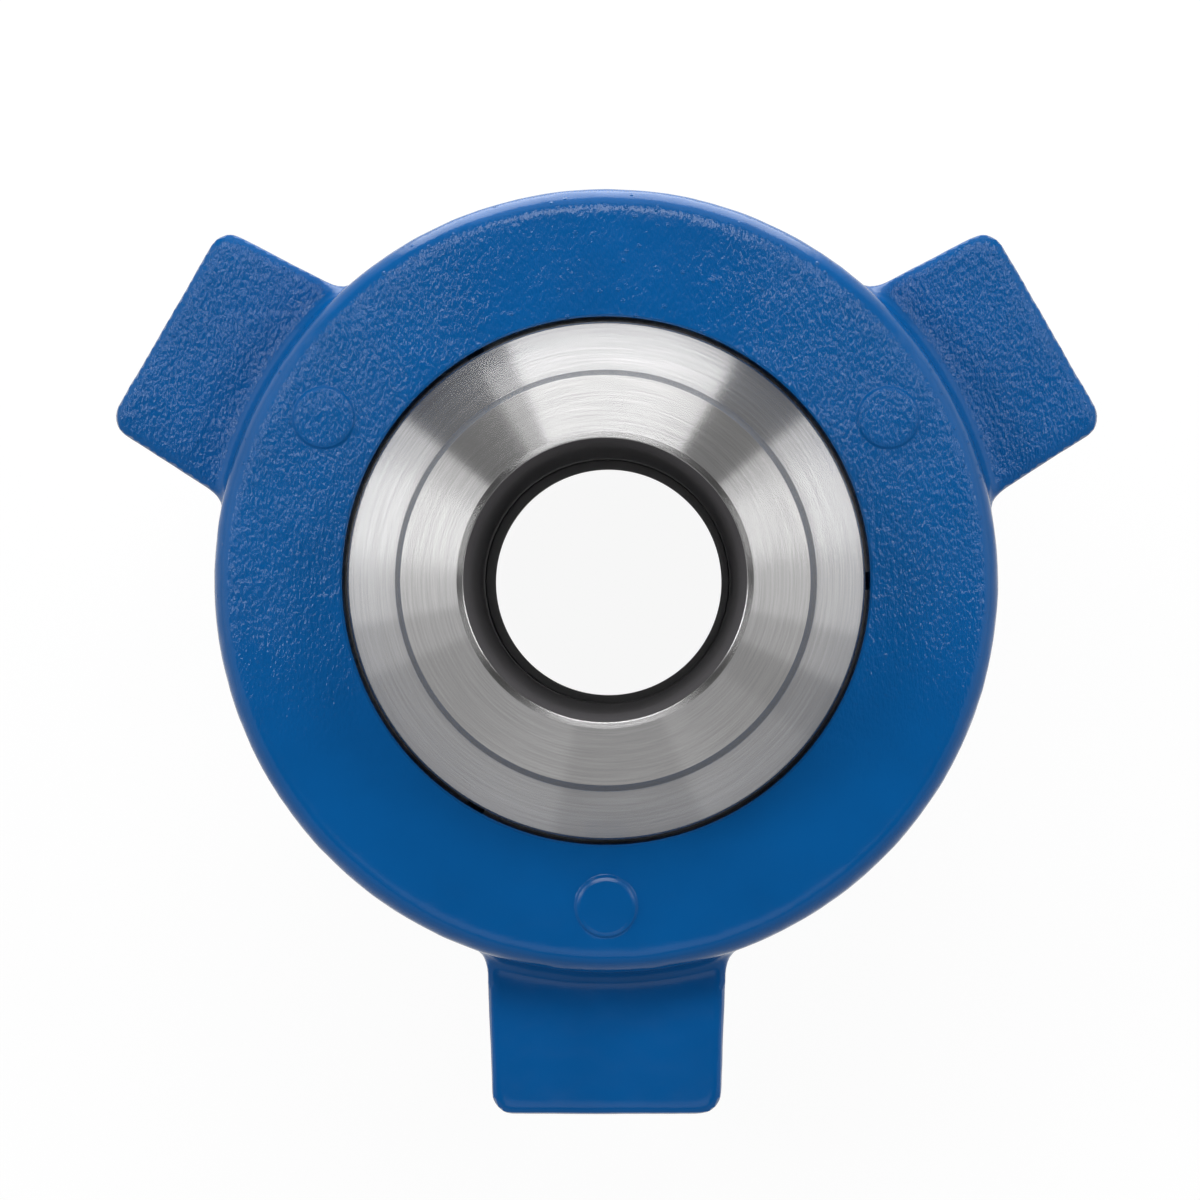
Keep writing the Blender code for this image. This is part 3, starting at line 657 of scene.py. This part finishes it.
def fill_centre(mesh):
    """Draw the innermost points of a turned ring together, so that it becomes a disc."""
    form = bmesh.new()
    form.from_mesh(mesh)
    inner = [vertex for vertex in form.verts if vertex.co.xy.length < 2 * PAD_CENTRE_HOLE]
    hole_wall = [face for face in form.faces if all(vertex in inner for vertex in face.verts)]
    bmesh.ops.delete(form, geom=hole_wall, context="FACES")
    for vertex in inner:
        vertex.co.xy = (0.0, 0.0)
    bmesh.ops.remove_doubles(form, verts=inner, dist=PAD_CENTRE_HOLE)
    bmesh.ops.recalc_face_normals(form, faces=form.faces)
    form.to_mesh(mesh)
    form.free()


def wing_nut():
    """The forging, bored and threaded, with its pads."""
    piece = forging()
    combine(piece, machined_bore(), "DIFFERENCE")
    for degrees in LUGS:
        combine(piece, pad(radians(degrees)), "UNION")
    piece.data.shade_smooth()
    piece.data.set_sharp_from_angle(angle=SHARP_ANGLE)
    return piece


def material_base(name):
    material = bpy.data.materials.new(name)
    material.use_nodes = True
    tree = material.node_tree
    return material, tree, tree.nodes["Principled BSDF"]


def add_node(tree, kind, **settings):
    node = tree.nodes.new(kind)
    for name, value in settings.items():
        setattr(node, name, value)
    return node


def ramp_between(tree, source, low, high, out_low=0.0, out_high=1.0):
    """A smooth step of a value from one level to another."""
    step = add_node(tree, "ShaderNodeMapRange", interpolation_type="SMOOTHSTEP")
    step.inputs["From Min"].default_value = low
    step.inputs["From Max"].default_value = high
    step.inputs["To Min"].default_value = out_low
    step.inputs["To Max"].default_value = out_high
    tree.links.new(source, step.inputs["Value"])
    return step.outputs["Result"]


def maths(tree, operation, *values):
    node = add_node(tree, "ShaderNodeMath", operation=operation)
    for value, socket in zip(values, node.inputs):
        tree.links.new(value, socket)
    return node.outputs["Value"]


def noise_at(tree, place, scale, detail, roughness=0.5):
    texture = add_node(tree, "ShaderNodeTexNoise")
    texture.inputs["Scale"].default_value = scale
    texture.inputs["Detail"].default_value = detail
    texture.inputs["Roughness"].default_value = roughness
    tree.links.new(place, texture.inputs["Vector"])
    return texture.outputs["Fac"]


def bump(tree, height, distance, strength, normal=None):
    node = add_node(tree, "ShaderNodeBump")
    node.inputs["Distance"].default_value = distance
    tree.links.new(height, node.inputs["Height"])
    if isinstance(strength, float):
        node.inputs["Strength"].default_value = strength
    else:
        tree.links.new(strength, node.inputs["Strength"])
    if normal is not None:
        tree.links.new(normal, node.inputs["Normal"])
    return node.outputs["Normal"]


def coarse_skin(tree, parts, place):
    """How coarse the forging is: most on the two upper lugs and beside them, smooth at the lower lug."""
    upper = ramp_between(tree, parts.outputs["Y"], *COARSE_ALONG_Y)
    aside = maths(tree, "ABSOLUTE", parts.outputs["X"])
    flank = ramp_between(tree, aside, *COARSE_ASIDE)
    patches = ramp_between(tree, noise_at(tree, place, COARSE_PATCH_SCALE, GRAIN_DETAIL), *COARSE_PATCHES)
    zone = maths(tree, "MULTIPLY", maths(tree, "MULTIPLY", upper, flank), patches)
    geometry = add_node(tree, "ShaderNodeNewGeometry")
    facing = add_node(tree, "ShaderNodeSeparateXYZ")
    tree.links.new(geometry.outputs["Normal"], facing.inputs["Vector"])
    level = maths(tree, "ABSOLUTE", facing.outputs["Z"])
    faces = ramp_between(tree, level, *COARSE_FACES)
    walls = ramp_between(tree, level, *COARSE_WALLS)
    return maths(tree, "MULTIPLY", zone, maths(tree, "MAXIMUM", faces, walls))


def enamel_tone(tree, place):
    """A slight cloudiness in the blue."""
    tone = add_node(tree, "ShaderNodeValToRGB")
    for stop, (position, colour) in zip(tone.color_ramp.elements, ENAMEL_TONES):
        stop.position = position
        stop.color = colour
    cloud = noise_at(tree, place, ENAMEL_TONE_SCALE, ENAMEL_TONE_DETAIL)
    tree.links.new(cloud, tone.inputs["Fac"])
    return tone.outputs["Color"]


def enamel_grain(tree, place, coarse):
    """The forged grain: a swell and a finer grain on it, both stretched along Y."""
    stretched = add_node(tree, "ShaderNodeMapping")
    stretched.inputs["Scale"].default_value = GRAIN_STRETCH
    tree.links.new(place, stretched.inputs["Vector"])
    place = stretched.outputs["Vector"]
    swell = noise_at(tree, place, SWELL_SCALE, GRAIN_DETAIL)
    swell = bump(tree, swell, SWELL_HEIGHT, ramp_between(tree, coarse, *SWELL_STRENGTH))
    grain = noise_at(tree, place, GRAIN_SCALE, GRAIN_DETAIL, GRAIN_ROUGHNESS)
    return bump(tree, grain, GRAIN_HEIGHT, ramp_between(tree, coarse, *GRAIN_STRENGTH), swell)


def enamel_specks(tree, parts, place, normal):
    """Small raised specks, which fade out towards the lower lug."""
    specks = add_node(tree, "ShaderNodeTexVoronoi")
    specks.inputs["Scale"].default_value = SPECK_SCALE
    tree.links.new(place, specks.inputs["Vector"])
    speck = ramp_between(tree, specks.outputs["Distance"], *SPECK_EDGE)
    share = ramp_between(tree, parts.outputs["Y"], *SPECK_ALONG_Y)
    return bump(tree, speck, SPECK_HEIGHT, share, normal)


def enamel():
    """Blue enamel over a forged skin: glossy, with a fine grain and small raised specks."""
    material, tree, shader = material_base("blue_enamel_finish")
    texture = add_node(tree, "ShaderNodeTexCoord")
    place = texture.outputs["Object"]
    parts = add_node(tree, "ShaderNodeSeparateXYZ")
    tree.links.new(place, parts.inputs["Vector"])
    grain = enamel_grain(tree, place, coarse_skin(tree, parts, place))
    tree.links.new(enamel_specks(tree, parts, place, grain), shader.inputs["Normal"])
    tree.links.new(enamel_tone(tree, place), shader.inputs["Base Color"])
    shader.inputs["Roughness"].default_value = ENAMEL_ROUGHNESS
    shader.inputs["Specular IOR Level"].default_value = ENAMEL_GLOSS
    return material


def painted_neck_shade(tree, radius):
    """One on the steep wall between a weld bevel and its shoulder, where the steel gets painted shade;
    nought elsewhere.
    """
    outward = ramp_between(tree, radius, PIPE_RADIUS - PAINTED_NECK_SHADE_EDGE, PIPE_RADIUS + PAINTED_NECK_SHADE_EDGE)
    inward = ramp_between(tree, radius, NECK_RADIUS - PAINTED_NECK_SHADE_EDGE, NECK_RADIUS + PAINTED_NECK_SHADE_EDGE, 1.0, 0.0)
    geometry = add_node(tree, "ShaderNodeNewGeometry")
    facing = add_node(tree, "ShaderNodeSeparateXYZ")
    tree.links.new(geometry.outputs["True Normal"], facing.inputs["Vector"])
    steep = ramp_between(tree, maths(tree, "ABSOLUTE", facing.outputs["Z"]), *PAINTED_NECK_SHADE_STEEPNESS)
    return maths(tree, "MULTIPLY", maths(tree, "MULTIPLY", outward, inward), steep)


def vector_maths(tree, operation, *values):
    """A vector sum or the like, with the values linked in."""
    node = add_node(tree, "ShaderNodeVectorMath", operation=operation)
    for value, socket in zip(values, node.inputs):
        tree.links.new(value, socket)
    return node


def turned_rings(tree, parts):
    """Distance from the axis, and a noise that changes slowly along a turning mark and fast across it."""
    link = tree.links.new
    flat = add_node(tree, "ShaderNodeCombineXYZ")
    link(parts.outputs["X"], flat.inputs["X"])
    link(parts.outputs["Y"], flat.inputs["Y"])
    radius = vector_maths(tree, "LENGTH", flat.outputs["Vector"]).outputs["Value"]
    heading = vector_maths(tree, "NORMALIZE", flat.outputs["Vector"])
    streak = vector_maths(tree, "SCALE", heading.outputs["Vector"])
    streak.inputs["Scale"].default_value = RING_STREAK
    depth = add_node(tree, "ShaderNodeCombineXYZ")
    link(radius, depth.inputs["Z"])
    section = vector_maths(tree, "ADD", streak.outputs["Vector"], depth.outputs["Vector"])
    rings = add_node(tree, "ShaderNodeTexNoise", noise_dimensions="4D")
    rings.inputs["Scale"].default_value = RING_SCALE
    rings.inputs["Detail"].default_value = RING_DETAIL
    link(section.outputs["Vector"], rings.inputs["Vector"])
    link(parts.outputs["Z"], rings.inputs["W"])
    return radius, rings.outputs["Fac"]


def turned_steel(name, has_painted_neck_shade):
    """Steel off the lathe: fine rings round the axis, with light drawn out across them, and painted shade on
    the steep neck wall where asked.
    """
    material, tree, shader = material_base(name)
    link = tree.links.new
    texture = add_node(tree, "ShaderNodeTexCoord")
    parts = add_node(tree, "ShaderNodeSeparateXYZ")
    link(texture.outputs["Object"], parts.inputs["Vector"])
    radius, rings = turned_rings(tree, parts)
    link(bump(tree, rings, RING_HEIGHT, RING_STRENGTH), shader.inputs["Normal"])

    tone = ramp_between(tree, rings, *RING_TONE)
    tone = maths(tree, "MULTIPLY", tone, ramp_between(tree, radius, *CONE_TONE))
    if has_painted_neck_shade:
        # Painted shade: the steep neck wall is darkened and made almost non-metallic
        neck_shade = painted_neck_shade(tree, radius)
        tone = maths(tree, "MULTIPLY", tone, ramp_between(tree, neck_shade, *PAINTED_NECK_SHADE_TONE))
        link(ramp_between(tree, neck_shade, *PAINTED_NECK_SHADE_METALLIC), shader.inputs["Metallic"])
    else:
        shader.inputs["Metallic"].default_value = 1.0
    tint = add_node(tree, "ShaderNodeVectorMath", operation="SCALE")
    tint.inputs[0].default_value = STEEL_COLOUR
    link(tone, tint.inputs["Scale"])
    link(tint.outputs["Vector"], shader.inputs["Base Color"])
    shader.inputs["Roughness"].default_value = STEEL_ROUGHNESS
    tangent = add_node(tree, "ShaderNodeTangent", direction_type="RADIAL", axis="Z")
    link(tangent.outputs["Tangent"], shader.inputs["Tangent"])
    shader.inputs["Anisotropic"].default_value = STEEL_ANISOTROPY
    shader.inputs["Anisotropic Rotation"].default_value = ACROSS_THE_RINGS
    return material


def plain_finish(name, colour, metallic, roughness, scale, gloss=0.5):
    """A finish with a fine grain in its roughness and its surface."""
    material, tree, shader = material_base(name)
    place = add_node(tree, "ShaderNodeTexCoord")
    grain = noise_at(tree, place.outputs["Object"], scale, FINISH_DETAIL)
    low = roughness - FINISH_ROUGHNESS_SPREAD
    high = roughness + FINISH_ROUGHNESS_SPREAD
    tree.links.new(ramp_between(tree, grain, 0.0, 1.0, low, high), shader.inputs["Roughness"])
    tree.links.new(bump(tree, grain, FINISH_HEIGHT, FINISH_STRENGTH), shader.inputs["Normal"])
    shader.inputs["Base Color"].default_value = (*colour, 1.0)
    shader.inputs["Metallic"].default_value = metallic
    shader.inputs["Specular IOR Level"].default_value = gloss
    return material


def area_light(name, place, aim, width, height, radiance):
    """A soft box by its brightness: its power is its area times pi times that."""
    light = bpy.data.lights.new(name, "AREA")
    light.shape = "RECTANGLE"
    light.size = width
    light.size_y = height
    light.energy = radiance * pi * width * height
    lamp = bpy.data.objects.new(name, light)
    bpy.context.scene.collection.objects.link(lamp)
    lamp.location = place
    lamp.rotation_euler = (aim - place).to_track_quat("-Z", "Y").to_euler()
    lamp.visible_camera = False


def soft_box(name, azimuth, elevation, distance, width, height, radiance):
    """A soft box above the union, in a direction counted from +X towards +Y."""
    around = radians(azimuth)
    above = radians(elevation)
    away = Vector((cos(around) * cos(above), sin(around) * cos(above), sin(above)))
    middle = AXIS + UP * NUT_REAR
    area_light(name, middle + away * distance, middle, width, height, radiance)


def panel(name, low_azimuth, high_azimuth, radiance, distance, foot, height):
    """An upright soft box that covers the horizon from one azimuth to another."""
    around = radians((low_azimuth + high_azimuth) / 2)
    middle = AXIS + UP * (foot + height / 2)
    place = middle + Vector((cos(around), sin(around), 0.0)) * distance
    width = 2 * distance * tan(radians(high_azimuth - low_azimuth) / 2)
    area_light(name, place, middle, width, height, radiance)


def studio():
    """A ring of panels of unequal brightness, which turned steel shows as a fan, and soft boxes above."""
    for number, sector in enumerate(RING_PANELS):
        panel(f"panel_{number}", *sector, PANEL_DISTANCE, PANEL_FOOT, PANEL_HEIGHT)
    panel("edge_light", *EDGE_PANEL, EDGE_PANEL_DISTANCE, 0.0, EDGE_PANEL_HEIGHT)
    for name, box in SOFT_BOXES.items():
        soft_box(name, *box)
    world = bpy.data.worlds.new("studio")
    bpy.context.scene.world = world
    world.use_nodes = True
    background = world.node_tree.nodes["Background"]
    background.inputs["Color"].default_value = WORLD_GREY
    bpy.context.scene.view_settings.view_transform = "Standard"


def shown_white(name):
    """A pale ground that the camera and reflections see as white near the union, and grey far away."""
    material, tree, shader = material_base(name)
    link = tree.links.new
    tree.nodes.remove(shader)
    path = add_node(tree, "ShaderNodeLightPath")
    reflected = maths(tree, "MAXIMUM", path.outputs["Is Glossy Ray"], path.outputs["Is Transmission Ray"])
    seen = maths(tree, "MAXIMUM", path.outputs["Is Camera Ray"], reflected)
    texture = add_node(tree, "ShaderNodeTexCoord")
    distance = vector_maths(tree, "LENGTH", texture.outputs["Object"])
    white = ramp_between(tree, distance.outputs["Value"], *FLOOR_GLOW)
    lit = add_node(tree, "ShaderNodeBsdfDiffuse")
    lit.inputs["Color"].default_value = FLOOR_GREY
    glow = add_node(tree, "ShaderNodeEmission")
    link(maths(tree, "MULTIPLY", seen, white), glow.inputs["Strength"])
    both = add_node(tree, "ShaderNodeAddShader")
    link(lit.outputs["BSDF"], both.inputs[0])
    link(glow.outputs["Emission"], both.inputs[1])
    link(both.outputs["Shader"], tree.nodes["Material Output"].inputs["Surface"])
    return material


def studio_floor():
    """A wide round floor."""
    mesh = bpy.data.meshes.new("studio_floor")
    form = bmesh.new()
    bmesh.ops.create_circle(form, cap_ends=True, segments=FLOOR_STEPS, radius=FLOOR_RADIUS)
    form.to_mesh(mesh)
    form.free()
    ground = new_object("studio_floor", mesh)
    ground.location = AXIS - UP * FLOOR_GAP
    mesh.materials.append(shown_white("studio_white"))


def camera():
    """Straight down beside the bore's axis, with the shift that puts the axis where the photo has it."""
    lens = bpy.data.cameras.new("camera")
    lens.sensor_width = SENSOR_WIDTH
    lens.lens = FOCAL_PIXELS / PHOTO_SIZE * SENSOR_WIDTH
    lens.shift_x = (PHOTO_SIZE / 2 - LENS_PIXEL[0]) / PHOTO_SIZE
    lens.shift_y = (LENS_PIXEL[1] - PHOTO_SIZE / 2) / PHOTO_SIZE
    viewer = bpy.data.objects.new("camera", lens)
    bpy.context.scene.collection.objects.link(viewer)
    viewer.location = AXIS + LENS_OFFSET + UP * (WELD_FACE + CAMERA_DISTANCE)
    bpy.context.scene.camera = viewer


def finish_node(name, material):
    """Give a CAD node that stays a better material."""
    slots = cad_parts[name].data.materials
    slots.clear()
    slots.append(material)


camera()
studio()
studio_floor()

# The male sub's steel carries painted shade on its steep neck wall
steel = turned_steel("turned_steel_and_neck_shade", has_painted_neck_shade=True)
lower_steel = turned_steel("lower_steel_finish", has_painted_neck_shade=False)
# Painted shade: a dark, matte, almost unreflecting grey in place of bored steel, for the shade deep in the
# bore
bore = plain_finish(
    "bore_painted_shade", (0.130, 0.126, 0.132), metallic=0.0, roughness=0.80, scale=700.0, gloss=0.03
)
dress(male_sub(), steel, "male_sub", "male_sub", material_slot="turned_steel", bore_shade_material=bore)
dress(
    female_sub(), lower_steel, "female_sub", "female_sub", material_slot="turned_steel", bore_shade_material=bore
)
dress(wing_nut(), enamel(), "wing_nut", "wing_nut", material_slot="blue_enamel")

plated = plain_finish("plated_steel_finish", (0.42, 0.42, 0.43), metallic=1.0, roughness=0.36, scale=1500.0)
blued = plain_finish("spring_steel_finish", (0.12, 0.12, 0.13), metallic=1.0, roughness=0.42, scale=1500.0)
rubber = plain_finish(
    "seal_rubber_finish", (0.018, 0.018, 0.019), metallic=0.0, roughness=0.7, scale=900.0, gloss=0.1
)
brass = plain_finish("seal_brass_finish", (0.62, 0.42, 0.13), metallic=1.0, roughness=0.34, scale=1500.0)
for number in range(1, 4):
    finish_node(f"retainer_segment_{number}", plated)
finish_node("retainer_ring", blued)
finish_node("seal_ring", rubber)
finish_node("seal_backup_ring", brass)
